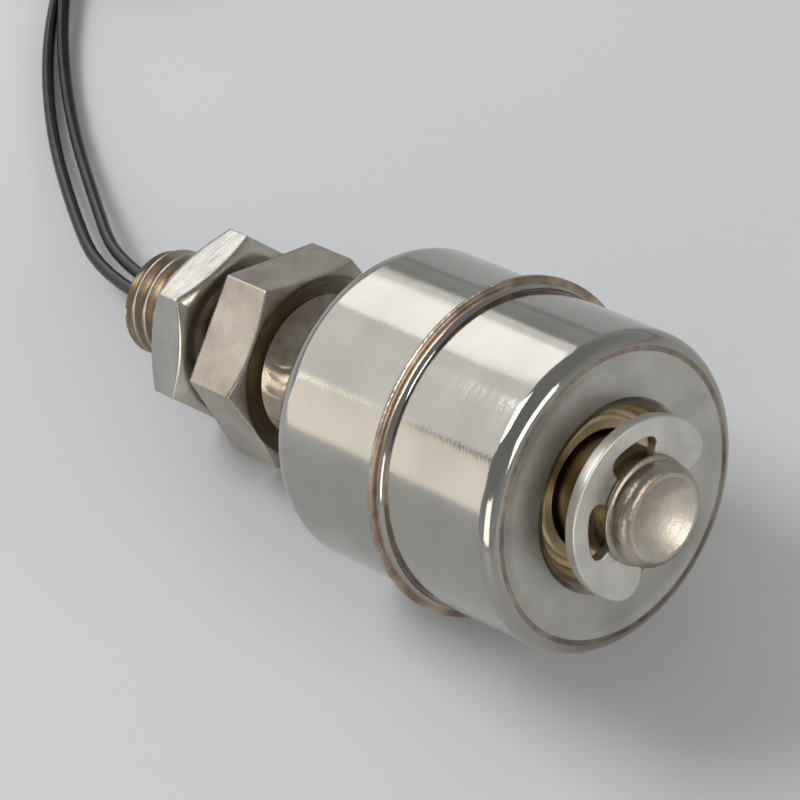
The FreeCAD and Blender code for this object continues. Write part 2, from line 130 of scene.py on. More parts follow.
run_a = [rest_point(SHANK_END, -0.85, 0), rest_point(SHANK_END - 8.5, -0.5, 0),
         Vector((-48.7, 4.3, 2.4)), Vector((-58.7, 10.7, 1.1)), Vector((-67.4, 18.4, FLOOR_LINE)),
         Vector((-73.8, 26.8, FLOOR_LINE)), COIL_ENTRY]
run_b = [rest_point(SHANK_END, 0.85, 0), rest_point(SHANK_END - 8.0, 1.3, 0),
         Vector((-47.7, 6.3, 2.3)), Vector((-57.5, 12.4, 1.2)), Vector((-66.2, 19.4, 1.2)),
         Vector((-73.2, 27.2, 2.0)), COIL_ENTRY + Vector((0, 0, LEAD_D))]
tail_a = tail((0, 0, 3.35), (5, -0.1, 2.4), (9.5, -0.7, 0.61), (15, -2.2, 0.61))
tail_b = tail((0, 0, 4.55), (5, 0.7, 3.6), (10, 2.1, 0.61), (16, 4.8, 0.61))
lead_a = lead("lead_a", run_a + coil_turns((0.95, 3.35)) + tail_a)
lead_b = lead("lead_b", run_b + coil_turns((2.15, 4.55)) + tail_b)


def linear(code):
    """An sRGB hex colour as linear RGBA."""
    parts = [int(code[i:i + 2], 16) / 255 for i in (1, 3, 5)]
    return (*[p / 12.92 if p <= 0.04045 else ((p + 0.055) / 1.055) ** 2.4 for p in parts], 1)


def add(tree, kind, sockets, stops=(), **settings):
    """Adds a node; a socket's value is a number, a colour or another node's output.
    stops are a colour ramp's two places and hex colours."""
    node = tree.nodes.new("ShaderNode" + kind)
    for i, (place, code) in enumerate(stops):
        node.color_ramp.elements[i].position = place
        node.color_ramp.elements[i].color = linear(code)
    for name, value in settings.items():
        setattr(node, name, value)
    for name, value in sockets.items():
        if isinstance(value, bpy.types.NodeSocket):
            tree.links.new(value, node.inputs[name])
        else:
            node.inputs[name].default_value = value
    return node


def new_material(name):
    material = bpy.data.materials.new(name)
    material.use_nodes = True
    material.node_tree.nodes.clear()
    return material, material.node_tree


# Soft PVC drawn through a round die: near black and shiny, with faint lengthwise die marks
# and a little dust that dulls it in places.
black_pvc, tree = new_material("soft_pvc_extruded_black")
spot = add(tree, "TexCoord", {}).outputs["Object"]
dust = add(tree, "TexNoise", {"Vector": spot, "Scale": 1 / (2.5 * MM), "Detail": 5, "Roughness": 0.7})
shine = add(tree, "MapRange", {"Value": dust.outputs["Fac"], "From Min": 0.35, "From Max": 0.7,
                               "To Min": 0.16, "To Max": 0.34})
tone = add(tree, "ValToRGB", {"Fac": dust.outputs["Fac"]}, stops=((0.3, "#060606"), (0.8, "#111112")))
grain = add(tree, "TexNoise", {"Vector": spot, "Scale": 1 / (0.4 * MM), "Detail": 2})
bump = add(tree, "Bump", {"Height": grain.outputs["Fac"], "Strength": 0.25, "Distance": 0.01 * MM})
shader = add(tree, "BsdfPrincipled", {"Base Color": tone.outputs["Color"], "Roughness": shine.outputs["Result"],
                                      "IOR": 1.53, "Normal": bump.outputs["Normal"]})
add(tree, "OutputMaterial", {"Surface": shader.outputs["BSDF"]})
for piece in (lead_a, lead_b):
    piece.data.materials.append(black_pvc)
    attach(piece, "switch_body")
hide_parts("lead_a_run", "lead_coil", "lead_a_tail")
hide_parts("lead_b_run", "lead_b_tail")

# ---- Bare ends of the leads -----------------------------------------------------------------
# Seven tinned copper strands, left twisted where the insulation is stripped from each lead.
STRAND_D = 0.2


def strands(name, start, way):
    """A twist of six strands round one."""
    curve = bpy.data.curves.new(name, "CURVE")
    curve.dimensions = "3D"
    side = way.cross(Vector((0, 0, 1))).normalized()
    over = side.cross(way)
    for strand in range(7):
        spline = curve.splines.new("NURBS")
        spline.points.add(20)
        for i, point in enumerate(spline.points):
            angle = 2 * pi * (strand / 6 + i / 20)
            off = 0.0 if strand == 6 else (STRAND_D + 0.01) * (1 + 0.05 * (i / 20) ** 3)
            place = start + way * (i * 0.25 - 0.05) + (side * cos(angle) + over * sin(angle)) * off
            point.co = (*(place * MM), 1)
        spline.order_u = 3
        spline.use_endpoint_u = True
    curve.bevel_depth = STRAND_D / 2 * MM
    curve.bevel_resolution = 2
    curve.use_fill_caps = True
    piece = bpy.data.objects.new(name, curve)
    bpy.context.collection.objects.link(piece)
    return piece


# Tinned copper: bright silver with the copper just showing where the tin is thin.
tinned, tree = new_material("copper_strand_tinned")
spot = add(tree, "TexCoord", {}).outputs["Object"]
thin = add(tree, "TexNoise", {"Vector": spot, "Scale": 1 / (0.6 * MM), "Detail": 4})
tone = add(tree, "ValToRGB", {"Fac": thin.outputs["Fac"]}, stops=((0.45, "#d3d0c9"), (0.75, "#c6a386")))
bump = add(tree, "Bump", {"Height": thin.outputs["Fac"], "Strength": 0.3, "Distance": 0.01 * MM})
shader = add(tree, "BsdfPrincipled", {"Base Color": tone.outputs["Color"], "Metallic": 1.0,
                                      "Roughness": 0.28, "Normal": bump.outputs["Normal"]})
add(tree, "OutputMaterial", {"Surface": shader.outputs["BSDF"]})
for letter, piece, points, run in (("a", lead_a, tail_a, run_a), ("b", lead_b, tail_b, run_b)):
    ends = strands("lead_%s_ends" % letter, points[-1], (points[-1] - points[-2]).normalized())
    ends.data.materials.append(tinned)
    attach(ends, "switch_body")
    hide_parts("lead_%s_strands" % letter)

# ---- Fixed hexagon with its threaded shank --------------------------------------------------
# Turned from one bar of stainless steel: milled flats, a rough bevel towards the float and a
# rolled M10 thread behind, browned a little by the heat of the weld.
HEX_FLATS = 17.0
HEX_FRONT = -23.6
HEX_BACK = -29.6
HEX_FACE_R = 8.4
HEX_LOW_CORNER = -7.06
SHANK_R = 5.0
ROOT_R = 4.1
PITCH = 1.5
BEVEL = tan(radians(30))


def place_piece(name, mesh_data, body, soft_angle=32):
    """Lays a mesh drawn in the stem frame, in millimetres, at rest on its body, shaded smooth."""
    mesh = bpy.data.meshes.new(name)
    mesh_data.to_mesh(mesh)
    mesh_data.free()
    mesh.transform(AT_REST @ Matrix.Scale(MM, 4))
    mesh.polygons.foreach_set("use_smooth", [True] * len(mesh.polygons))
    mesh.set_sharp_from_angle(angle=radians(soft_angle))
    piece = bpy.data.objects.new(name, mesh)
    bpy.context.collection.objects.link(piece)
    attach(piece, body)
    return piece


def polar(x, r, angle):
    """angle in radians from +y towards up."""
    return Vector((x, r * cos(angle), r * sin(angle)))


def loft(rings, finish_of=None):
    """Joins rings of points, all with the same number, and the last to the first.
    finish_of gives the number of the finish between a ring and the next."""
    shape = bmesh.new()
    rows = [[shape.verts.new(point) for point in ring] for ring in rings]
    count = len(rows[0])
    for number, (one, two) in enumerate(zip(rows, rows[1:] + rows[:1])):
        for i in range(count):
            j = (i + 1) % count
            face = shape.faces.new((one[i], one[j], two[j], two[i]))
            face.material_index = finish_of(number) if finish_of else 0
    bmesh.ops.recalc_face_normals(shape, faces=shape.faces)
    return shape


def hex_radius(angle, flats, low_corner, round_r):
    """Distance to the side of a hexagon with slightly rounded corners."""
    corner = radians(-90 - low_corner)
    off = (angle - corner) % (pi / 3)
    off = min(off, pi / 3 - off)
    inner = (flats / 2 - round_r) / cos(pi / 6)
    touch = pi / 6 - atan((flats / 2 - round_r) * tan(pi / 6) / (flats / 2))
    if off < touch:
        return inner * cos(off) + sqrt(round_r ** 2 - (inner * sin(off)) ** 2)
    return flats / 2 / cos(pi / 6 - off)


def hex_angles(low_corner, round_r, flats):
    """Angles round a hexagon, close together at its corners."""
    near = atan(round_r / flats) * 1.2
    steps = [-near * 2, -near, -near / 2, 0, near / 2, near, near * 2]
    wide = [near * 2 + (pi / 3 - 4 * near) * i / 30 for i in range(1, 30)]
    return [radians(-90 - low_corner) + pi / 3 * side + a for side in range(6) for a in steps + wide]


def hexagon_rings(flats, low_corner, back, front, back_face_r, front_face_r, edge, nicks):
    """Rings over the outside of a bevelled hexagon, from its back face to its front face."""
    round_r = 0.16
    angles = hex_angles(low_corner, round_r, flats)

    def ring(side, face_r, end, step):
        points = []
        for a in angles:
            r = hex_radius(a, flats, low_corner, round_r)
            if step in ("slope", "edge"):
                r -= nicks * abs(noise.noise(Vector((end, r * cos(a) * 2.2, r * sin(a) * 2.2))))
            slope_x = end - side * max(0.0, r - face_r) * BEVEL
            if step == "face":
                points.append(polar(end, min(r, face_r), a))
            elif step == "slope":
                inset = min(edge, max(0.0, r - face_r))
                points.append(polar(slope_x + side * inset * BEVEL, r - inset, a))
            elif step == "edge":
                points.append(polar(slope_x - side * edge * 0.18, r - edge * 0.22, a))
            elif step == "side":
                points.append(polar(slope_x - side * edge, r, a))
            else:
                points.append(polar(slope_x - side * edge * 3, r, a))
        return points

    rings = []
    for step in ("face", "slope", "edge", "side", "flat"):
        rings.append(ring(-1, back_face_r, back, step))
    for step in ("flat", "side", "edge", "slope", "face"):
        rings.append(ring(1, front_face_r, front, step))
    return rings, angles


head_rings, head_angles = hexagon_rings(HEX_FLATS, HEX_LOW_CORNER, HEX_BACK, HEX_FRONT, 30.0,
                                        HEX_FACE_R, 0.09, 0.1)
head_rings = ([[polar(HEX_BACK, ROOT_R - 0.3, a) for a in head_angles],
               [polar(HEX_BACK, SHANK_R + 0.2, a) for a in head_angles]] + head_rings
              + [[polar(HEX_FRONT, HEX_FACE_R - 0.15, a) for a in head_angles],
                 [polar(HEX_FRONT, 4.9, a) for a in head_angles],
                 [polar(HEX_FRONT - 1, 4.9, a) for a in head_angles],
                 [polar(HEX_BACK + 1, ROOT_R - 0.3, a) for a in head_angles]])
# Finish 1 is the burnished edge, whose lighter colour is partly a painted highlight along the edges.
HEAD_FINISHES = {3: 1, 4: 1, 8: 1, 9: 1, 10: 2, 11: 3, 12: 3}
head = place_piece("fixed_hexagon", loft(head_rings, lambda ring: HEAD_FINISHES.get(ring, 0)), "switch_body")

# The thread's outline over one pitch: narrow crests between wide rounded roots; the crests take the lighter
# edge material, whose brightness is partly a painted highlight.
ROUND_STEPS = 96


def thread_outline(along):
    """Radius at a place along the thread, in pitches from a crest."""
    off = abs(along - round(along)) * 2
    if off < 0.10:
        return SHANK_R
    if off < 0.16:
        return SHANK_R - 0.04 * (off - 0.10) / 0.06
    lie = (off - 0.16) / 0.84
    return ROOT_R + (SHANK_R - 0.04 - ROOT_R) * (1 - sin(lie * pi / 2)) ** 1.25


def threaded(start, end):
    """A helical grid: each column follows the thread, so that the crests are clean lines."""
    places = [0, 0.05, 0.08, 0.12, 0.17, 0.23, 0.3, 0.4, 0.5, 0.6, 0.7, 0.77, 0.83, 0.88, 0.92, 0.95]
    per = len(places)
    turns = ceil((end - start) / PITCH) + 2
    shape = bmesh.new()
    grid = []
    for i in range(-per, turns * per + 1):
        along = i // per + places[i % per]
        row = []
        for j in range(ROUND_STEPS):
            share = j / ROUND_STEPS
            x = min(max(start + (along + share - 1) * PITCH, start), end)
            r = min(thread_outline((x - start) / PITCH - share), ROOT_R - 0.05 + (x - start) * 1.05)
            row.append(shape.verts.new(polar(x, r, 2 * pi * share)))
        grid.append(row)
    for i in range(len(grid) - 1):
        on_crest = i % per in (0, per - 1)
        for j in range(ROUND_STEPS - 1):
            face = shape.faces.new((grid[i][j], grid[i][j + 1], grid[i + 1][j + 1], grid[i + 1][j]))
            face.material_index = int(on_crest)
        if i + per + 1 < len(grid):
            face = shape.faces.new((grid[i + per][ROUND_STEPS - 1], grid[i][0], grid[i + 1][0],
                                    grid[i + per + 1][ROUND_STEPS - 1])[::-1])
            face.material_index = int(on_crest)
    bmesh.ops.remove_doubles(shape, verts=shape.verts, dist=0.0005)
    bmesh.ops.dissolve_degenerate(shape, edges=shape.edges, dist=0.0005)
    bmesh.ops.holes_fill(shape, edges=[e for e in shape.edges if e.is_boundary], sides=0)
    bmesh.ops.recalc_face_normals(shape, faces=shape.faces)
    return shape


shank = place_piece("shank", threaded(SHANK_END, HEX_BACK + 0.3), "switch_body", 40)


def lathe(outline, segments=192, finish_at=None):
    """Turns a closed outline of (along, radius) points round the stem.
    Long runs get a point near each end, so that only the corners are shaded round.
    finish_at gives the number of the finish at a place on the outline."""
    eased = []
    for one, two in zip(outline, outline[1:] + outline[:1]):
        eased.append(one)
        run = sqrt((two[0] - one[0]) ** 2 + (two[1] - one[1]) ** 2)
        if run > 0.5:
            for share in (0.08 / run, 1 - 0.08 / run):
                eased.append((one[0] + (two[0] - one[0]) * share, one[1] + (two[1] - one[1]) * share))
    angles = [2 * pi * i / segments for i in range(segments)]
    middles = [((a[0] + b[0]) / 2, (a[1] + b[1]) / 2) for a, b in zip(eased, eased[1:] + eased[:1])]
    rings = [[polar(x, max(r, 0.01), a) for a in angles] for x, r in eased]
    return loft(rings, finish_at and (lambda number: finish_at(*middles[number])))


def arc(x, r, radius, start, end, steps=8):
    """Points of a rounded corner: centre, radius, and angles in degrees from +x to outward."""
    angles = [radians(start + (end - start) * i / steps) for i in range(steps + 1)]
    return [(x + radius * cos(a), r + radius * sin(a)) for a in angles]


# Stainless steel as turned and milled: warm grey, with fine tool lines that run round the
# stem and stretch the highlights across them, and pits or grit that break them up.
def on_stem(tree):
    """Texture coordinates in the stem frame."""
    spot = add(tree, "TexCoord", {}).outputs["Object"]
    return add(tree, "Mapping", {"Vector": spot, "Location": AT_REST.to_translation(),
                                 "Rotation": AT_REST.to_euler()}, vector_type="TEXTURE").outputs["Vector"]


def steel(name, light, dark, rough, lines_mm, line_depth, grit_mm, grit_depth, faced=False, scratch=0.0):
    """faced: the tool lines are circles on an end face.  scratch: depth of the handling scratches."""
    material, tree = new_material(name)
    spot = on_stem(tree)
    along = spot
    if faced:
        flat = add(tree, "VectorMath", {0: spot, 1: (0, 1, 1)}, operation="MULTIPLY")
        out = add(tree, "VectorMath", {0: flat.outputs["Vector"]}, operation="LENGTH")
        along = add(tree, "CombineXYZ", {"X": out.outputs["Value"]}).outputs["Vector"]
    stretched = add(tree, "Mapping", {"Vector": along, "Scale": (1 / (lines_mm * MM), 60, 60)})
    lines = add(tree, "TexNoise", {"Vector": stretched.outputs["Vector"], "Scale": 1.0, "Detail": 3,
                                   "Roughness": 0.65})
    cloud = add(tree, "TexNoise", {"Vector": spot, "Scale": 1 / (3.5 * MM), "Detail": 5, "Roughness": 0.6})
    grit = add(tree, "TexNoise", {"Vector": spot, "Scale": 1 / (grit_mm * MM), "Detail": 3})
    shine = add(tree, "MapRange", {"Value": lines.outputs["Fac"], "From Min": 0.3, "From Max": 0.7,
                                   "To Min": rough * 0.8, "To Max": rough * 1.25})
    bump = add(tree, "Bump", {"Height": lines.outputs["Fac"], "Strength": 1.0, "Distance": line_depth * MM})
    if scratch:
        for turn in (0.6, -0.9, 1.9):
            laid = add(tree, "Mapping", {"Vector": spot, "Rotation": (turn, turn, 0),
                                         "Scale": (1 / (0.07 * MM), 1 / (3.0 * MM), 1 / (3.0 * MM))})
            marks = add(tree, "TexNoise", {"Vector": laid.outputs["Vector"], "Scale": 1.0, "Detail": 1})
            mark = add(tree, "MapRange", {"Value": marks.outputs["Fac"], "From Min": 0.66, "From Max": 0.74})
            bump = add(tree, "Bump", {"Height": mark.outputs["Result"], "Strength": 1.0,
                                      "Distance": scratch * MM, "Normal": bump.outputs["Normal"]}, invert=True)
    pits = add(tree, "Bump", {"Height": grit.outputs["Fac"], "Strength": 1.0, "Distance": grit_depth * MM,
                              "Normal": bump.outputs["Normal"]})
    tone = add(tree, "ValToRGB", {"Fac": cloud.outputs["Fac"]}, stops=((0.32, dark), (0.68, light)))
    shader = add(tree, "BsdfPrincipled", {"Base Color": tone.outputs["Color"], "Metallic": 1.0,
                                          "Roughness": shine.outputs["Result"],
                                          "Normal": pits.outputs["Normal"]})
    add(tree, "OutputMaterial", {"Surface": shader.outputs["BSDF"]})
    return material


# Edges, thread crests and the dish's rim: lower roughness for real burnishing, and a lighter colour that is a
# painted highlight.
burnished_and_highlight_edge = steel("stainless_steel_burnished_edge_painted_highlight", "#cbc6bb", "#aaa396", 0.22, 0.4, 0.002, 0.15, 0.01)
head.data.materials.append(steel("stainless_steel_milled", "#b5ada2", "#968d82", 0.32, 0.14, 0.003, 0.25,
                                 0.004))
head.data.materials.append(burnished_and_highlight_edge)
head.data.materials.append(steel("stainless_steel_sawn_bevel", "#afa79a", "#867d70", 0.36, 0.3, 0.006, 0.16,
                                 0.03,
                                 faced=True))
head.data.materials.append(steel("stainless_steel_faced", "#a89c8a", "#84786a", 0.28, 0.12, 0.003, 0.3, 0.006,
                                 faced=True))
shank.data.materials.append(steel("stainless_steel_rolled_thread", "#bdb1a0", "#968975", 0.27, 0.2, 0.002,
                                  0.3, 0.004))
shank.data.materials.append(burnished_and_highlight_edge)
for piece in (head, shank):
    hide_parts("threaded_body")

# ---- Stem -----------------------------------------------------------------------------------
# A closed stainless tube, turned at the tip: the clip's groove, a thin lip and a rounded knob
# with a shallow dish.
STEM_R = 4.75
KNOB_R = 4.5
STEM_TIP = 19.2
DISH_R = 3.5
DISH_DEEP = 1.2
GROOVE_R = 4.0
GROOVE_BACK = 15.8
GROOVE_FRONT = 16.9
dish = [(STEM_TIP - DISH_DEEP * (1 - (r / DISH_R) ** 2), r)
        for r in (3.45, 3.3, 3.1, 2.8, 2.4, 1.8, 1.2, 0.6, 0.01)]
stem_outline = [(-28.0, 0.01), (-28.0, STEM_R), (GROOVE_BACK, STEM_R), (GROOVE_BACK, GROOVE_R),
                (GROOVE_FRONT, GROOVE_R), (GROOVE_FRONT, 4.67), (16.98, STEM_R),
                (17.22, STEM_R), (17.3, 4.67), (17.42, 4.33), (17.52, 4.33), (17.68, 4.45), (17.8, KNOB_R)]
stem_outline += arc(STEM_TIP - 0.85, KNOB_R - 0.85, 0.85, 90, 15, 10)
stem_outline += [(STEM_TIP, KNOB_R - 0.87), (STEM_TIP, DISH_R + 0.02)] + dish


def stem_finish(x, r):
    """0 turned tube; 1 knob; 2 burnished rim of the dish, lighter in colour as a painted highlight; 3 dished
    end.
    """
    if x < 17:
        return 0
    if x > 18.9 and 3.4 < r < 3.9:
        return 2
    return 1 if r > 3.5 else 3


stem_shape = lathe(stem_outline, finish_at=stem_finish)
for vert in stem_shape.verts:
    out = sqrt(vert.co.y ** 2 + vert.co.z ** 2)
    if vert.co.x > 17.6 and out > 3:
        lump = noise.noise(vert.co * 0.9) * 0.06 + noise.noise(vert.co * 3) * 0.035
        vert.co.yz *= 1 - (abs(lump) + 0.01) / out * min(1.0, (vert.co.x - 17.6) * 2)
stem = place_piece("stem", stem_shape, "switch_body", 50)
stem.data.materials.append(steel("stainless_steel_turned", "#b7a88b", "#8d7f66", 0.3, 0.25, 0.008, 0.3, 0.003))
stem.data.materials.append(steel("stainless_steel_knob", "#b9b1a4", "#92887a", 0.34, 0.3, 0.004, 0.15, 0.02))
stem.data.materials.append(burnished_and_highlight_edge)
stem.data.materials.append(steel("stainless_steel_dished_end", "#d6cfc3", "#b0a89c", 0.42, 0.5, 0.004, 0.14,
                                 0.03,
                                 faced=True))
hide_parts("stem_tube")

# ---- Weld between stem and hexagon ----------------------------------------------------------
# A hand-laid bead round the stem, its overlapping ripples tinted by the heat.
RIPPLES = 24
weld_rings = []
for i in range(25):
    share = i / 24
    x = HEX_FRONT - 0.1 + 3.0 * share
    r = 4.72 + 1.98 * (1 - share ** 0.8) ** 0.75
    ring = []
    for j in range(340):
        angle = 2 * pi * j / 340
        beat = (RIPPLES * angle / (2 * pi) + 0.9 * (share - 0.5) ** 2 * 4 + 0.15 * sin(5 * angle)) % 1
        ripple = 0.07 * sin(pi * share) * (sqrt(max(0.0, 1 - (2 * beat - 1) ** 2)) - 0.75)
        ring.append(polar(x, r + ripple, angle))
    weld_rings.append(ring)
weld_rings.append([polar(HEX_FRONT - 0.1, 4.6, 2 * pi * j / 340) for j in range(340)])
weld = place_piece("weld_bead", loft(weld_rings), "switch_body", 60)
weld.data.materials.append(steel("stainless_steel_weld", "#b8ad9b", "#7d7263", 0.19, 0.5, 0.003, 0.3, 0.006))
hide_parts("weld_collar")

# ---- Locknut --------------------------------------------------------------------------------
# A thin M10 hexagon nut, brighter than the body, its flats scratched by handling and its
# corners bevelled on both sides.
NUT_FLATS = 15.8
NUT_FRONT = -33.0
NUT_BACK = -37.5
NUT_FACE_R = 7.4
NUT_BORE_R = 5.06
nut_rings, nut_angles = hexagon_rings(NUT_FLATS, 30.0, NUT_BACK, NUT_FRONT, NUT_FACE_R, NUT_FACE_R, 0.14, 0.05)
nut_rings = ([[polar(NUT_BACK, NUT_BORE_R + 0.5, a) for a in nut_angles]] + nut_rings
             + [[polar(NUT_FRONT, NUT_BORE_R + 0.5, a) for a in nut_angles],
                [polar(NUT_FRONT - 0.5, NUT_BORE_R, a) for a in nut_angles],
                [polar(NUT_BACK + 0.5, NUT_BORE_R, a) for a in nut_angles]])
# Finish 1 on the nut's edge rings is the burnished edge, whose lighter colour is partly a painted highlight.
NUT_FINISHES = {2: 1, 3: 1, 7: 1, 8: 1, 9: 1}
nut = place_piece("locknut_body", loft(nut_rings, lambda ring: NUT_FINISHES.get(ring, 0)), "nut")
nut.data.materials.append(steel("stainless_steel_bright_nut", "#b3b1ad", "#a19f9b", 0.2, 0.3, 0.003, 0.2, 0.003,
                                scratch=0.006))
nut.data.materials.append(burnished_and_highlight_edge)
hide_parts("locknut")

# ---- Float ----------------------------------------------------------------------------------
# Two deep-drawn stainless cups, polished to a mirror, with their end faces turned in round
# the bore and left satin; they meet lip to lip in a welded seam.
FLOAT_R = 14.0
WALL = 0.4
FRONT_LONG = 13.4
REAR_LONG = 14.1
FRONT_CORNER = 1.4
REAR_CORNER = 2.4
MOUTH_R = 8.0
MOUTH_FLOOR_R = 7.0
FRONT_MOUTH = 2.3
REAR_MOUTH = 3.6
TUBE_OUT_R = 5.55
TUBE_IN_R = 5.15


def cup(end, length, corner_r, mouth):
    """Closed outline of one cup, from its rim over the shoulder and into the mouth."""
    lip = 1.0
    roll_r = MOUTH_R + 0.5
    hole_r = TUBE_OUT_R + 0.02
    floor = length - mouth
    border = FLOAT_R - corner_r
    outline = ([(0.03, FLOAT_R - WALL), (0.03, 14.9), (0.08, 14.96), (0.2, 14.96), (0.28, 14.88)]
               + arc(0.83, 14.55, 0.55, 180, 270, 10)
               + arc(length - corner_r, border, corner_r, 90, 0, 16)
               + [(length - 0.01, border - 0.2), (length - 0.04, border - 0.45), (length - 0.08, border - 0.75),
                  (length - 0.1, border - 1.1)]
               + arc(length - lip - 0.1, roll_r, lip, 0, -80, 12)
               + arc(floor + 0.5, MOUTH_FLOOR_R - 0.45, 0.5, 80, 180, 5)
               + [(floor, hole_r), (floor - WALL, hole_r), (floor - WALL, MOUTH_FLOOR_R + WALL)]
               + arc(length - lip - 0.1, roll_r, lip - WALL, -80, 0, 3)
               + arc(length - corner_r, border, corner_r - WALL, 0, 90, 5))
    return [(end * x, r) for x, r in outline]


def cup_finish(length, corner_r):
    """0 mirror on the barrel; 1 satin end face; 2 worn rims; 3 seam's lip; 4 golden mouth, straw from heat tint
    but made much lighter as a painted gleam in the shaded recess.
    """
    border = FLOAT_R - corner_r

    def at(x, r):
        x = abs(x)
        if r > 14.3:
            return 3
        if r < MOUTH_R + 0.45 and length - 5 < x:
            return 2 if x > length - 1.0 else 4
        if x > length - 0.12 and r < border - 0.1:
            return 1
        return 2 if x > length - 0.2 and r < border + 0.25 else 0
    return at


front_cup = place_piece("float_cup_front", lathe(cup(1, FRONT_LONG, FRONT_CORNER, FRONT_MOUTH), 256,
                                                 cup_finish(FRONT_LONG, FRONT_CORNER)), "float", 50)
rear_cup = place_piece("float_cup_rear", lathe(cup(-1, REAR_LONG, REAR_CORNER, REAR_MOUTH), 256,
                                               cup_finish(REAR_LONG, REAR_CORNER)), "float", 50)

# Mirror-polished stainless: clear reflections whose edges break up a little over the fine
# orange-peel of the drawn sheet, faintly warm, with the buffing just seen round the barrel.
mirror, tree = new_material("stainless_steel_mirror_polished")
spot = on_stem(tree)
peel = add(tree, "TexNoise", {"Vector": spot, "Scale": 1 / (0.28 * MM), "Detail": 3, "Roughness": 0.6})
wave = add(tree, "TexNoise", {"Vector": spot, "Scale": 1 / (6 * MM), "Detail": 2})
around = add(tree, "Mapping", {"Vector": spot, "Scale": (1 / (0.15 * MM), 80, 80)})
rub = add(tree, "TexNoise", {"Vector": around.outputs["Vector"], "Scale": 1.0, "Detail": 3})
shine = add(tree, "MapRange", {"Value": rub.outputs["Fac"], "From Min": 0.3, "From Max": 0.75,
                               "To Min": 0.06, "To Max": 0.14})
bump_w = add(tree, "Bump", {"Height": wave.outputs["Fac"], "Strength": 1.0, "Distance": 0.022 * MM})
bump_p = add(tree, "Bump", {"Height": peel.outputs["Fac"], "Strength": 1.0, "Distance": 0.0045 * MM,
                            "Normal": bump_w.outputs["Normal"]})
tone = add(tree, "ValToRGB", {"Fac": wave.outputs["Fac"]}, stops=((0.32, "#a19f99"), (0.68, "#aba9a3")))
shader = add(tree, "BsdfPrincipled", {"Base Color": tone.outputs["Color"],
                                      "Metallic": 1.0, "Roughness": shine.outputs["Result"],
                                      "Normal": bump_p.outputs["Normal"]})
add(tree, "OutputMaterial", {"Surface": shader.outputs["BSDF"]})

# The same sheet left satin on the end faces: soft grey with small pits that sparkle.
satin, tree = new_material("stainless_steel_satin")
spot = on_stem(tree)
fine = add(tree, "TexNoise", {"Vector": spot, "Scale": 1 / (0.22 * MM), "Detail": 5, "Roughness": 0.7})
cloud = add(tree, "TexNoise", {"Vector": spot, "Scale": 1 / (4 * MM), "Detail": 4})
pit = add(tree, "TexVoronoi", {"Vector": spot, "Scale": 1 / (0.5 * MM), "Randomness": 1.0})
pit_depth = add(tree, "MapRange", {"Value": pit.outputs["Distance"], "From Min": 0.05, "From Max": 0.2})
shine = add(tree, "MapRange", {"Value": fine.outputs["Fac"], "From Min": 0.3, "From Max": 0.7,
                               "To Min": 0.32, "To Max": 0.46})
bump = add(tree, "Bump", {"Height": fine.outputs["Fac"], "Strength": 1.0, "Distance": 0.012 * MM})
bump = add(tree, "Bump", {"Height": pit_depth.outputs["Result"], "Strength": 0.6, "Distance": 0.004 * MM,
                          "Normal": bump.outputs["Normal"]})
tone = add(tree, "ValToRGB", {"Fac": cloud.outputs["Fac"]}, stops=((0.32, "#aaa8a2"), (0.68, "#bfbdb7")))
shader = add(tree, "BsdfPrincipled", {"Base Color": tone.outputs["Color"],
                                      "Metallic": 1.0, "Roughness": shine.outputs["Result"],
                                      "Normal": bump.outputs["Normal"]})
add(tree, "OutputMaterial", {"Surface": shader.outputs["BSDF"]})
worn_rim = steel("stainless_steel_worn_rim", "#a79c8d", "#655c50", 0.3, 0.4, 0.003, 0.18, 0.03)
seam_lip = steel("stainless_steel_heat_tinted", "#c4ae9b", "#76675a", 0.32, 0.3, 0.002, 0.12, 0.02)
# The mouth's golden colour is real heat tint, but its very light tone is a painted gleam that brightens the
# shade inside the mouth.
tinted_funnel_painted_gleam = steel("stainless_steel_drawn_mouth_painted_gleam", "#efe0bd", "#b39f78", 0.36, 0.2, 0.004, 0.5, 0.006)
for piece in (front_cup, rear_cup):
    for material in (mirror, satin, worn_rim, seam_lip, tinted_funnel_painted_gleam):
        piece.data.materials.append(material)
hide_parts("float_front_cup")
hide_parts("float_rear_cup")

# ---- Float's seam ---------------------------------------------------------------------------
# The cups' lips stand up back to back and are fused between their edges, which leaves a thin,
# uneven bead, straw and brown from the heat.
seam_rings = []
for x, r, sway in ((-0.1, 14.0, 0), (-0.17, 14.86, 0.5), (-0.13, 14.93, 1), (0, 14.96, 1), (0.13, 14.93, 1),
                   (0.17, 14.86, 0.5), (0.1, 14.0, 0)):
    ring = []
    for j in range(720):
        angle = 2 * pi * j / 720
        lump = 0.03 * sin(43 * angle + 1) * sin(7 * angle) + 0.02 * sin(131 * angle)
        ring.append(polar(x + 0.3 * lump, r + sway * lump, angle))
    seam_rings.append(ring)
seam = place_piece("float_seam_bead", loft(seam_rings), "float", 50)
seam.data.materials.append(steel("stainless_steel_fused_seam", "#d8cfc2", "#a89b8b", 0.24, 0.2, 0.003, 0.16,
                                 0.03))
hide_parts("float_seam")

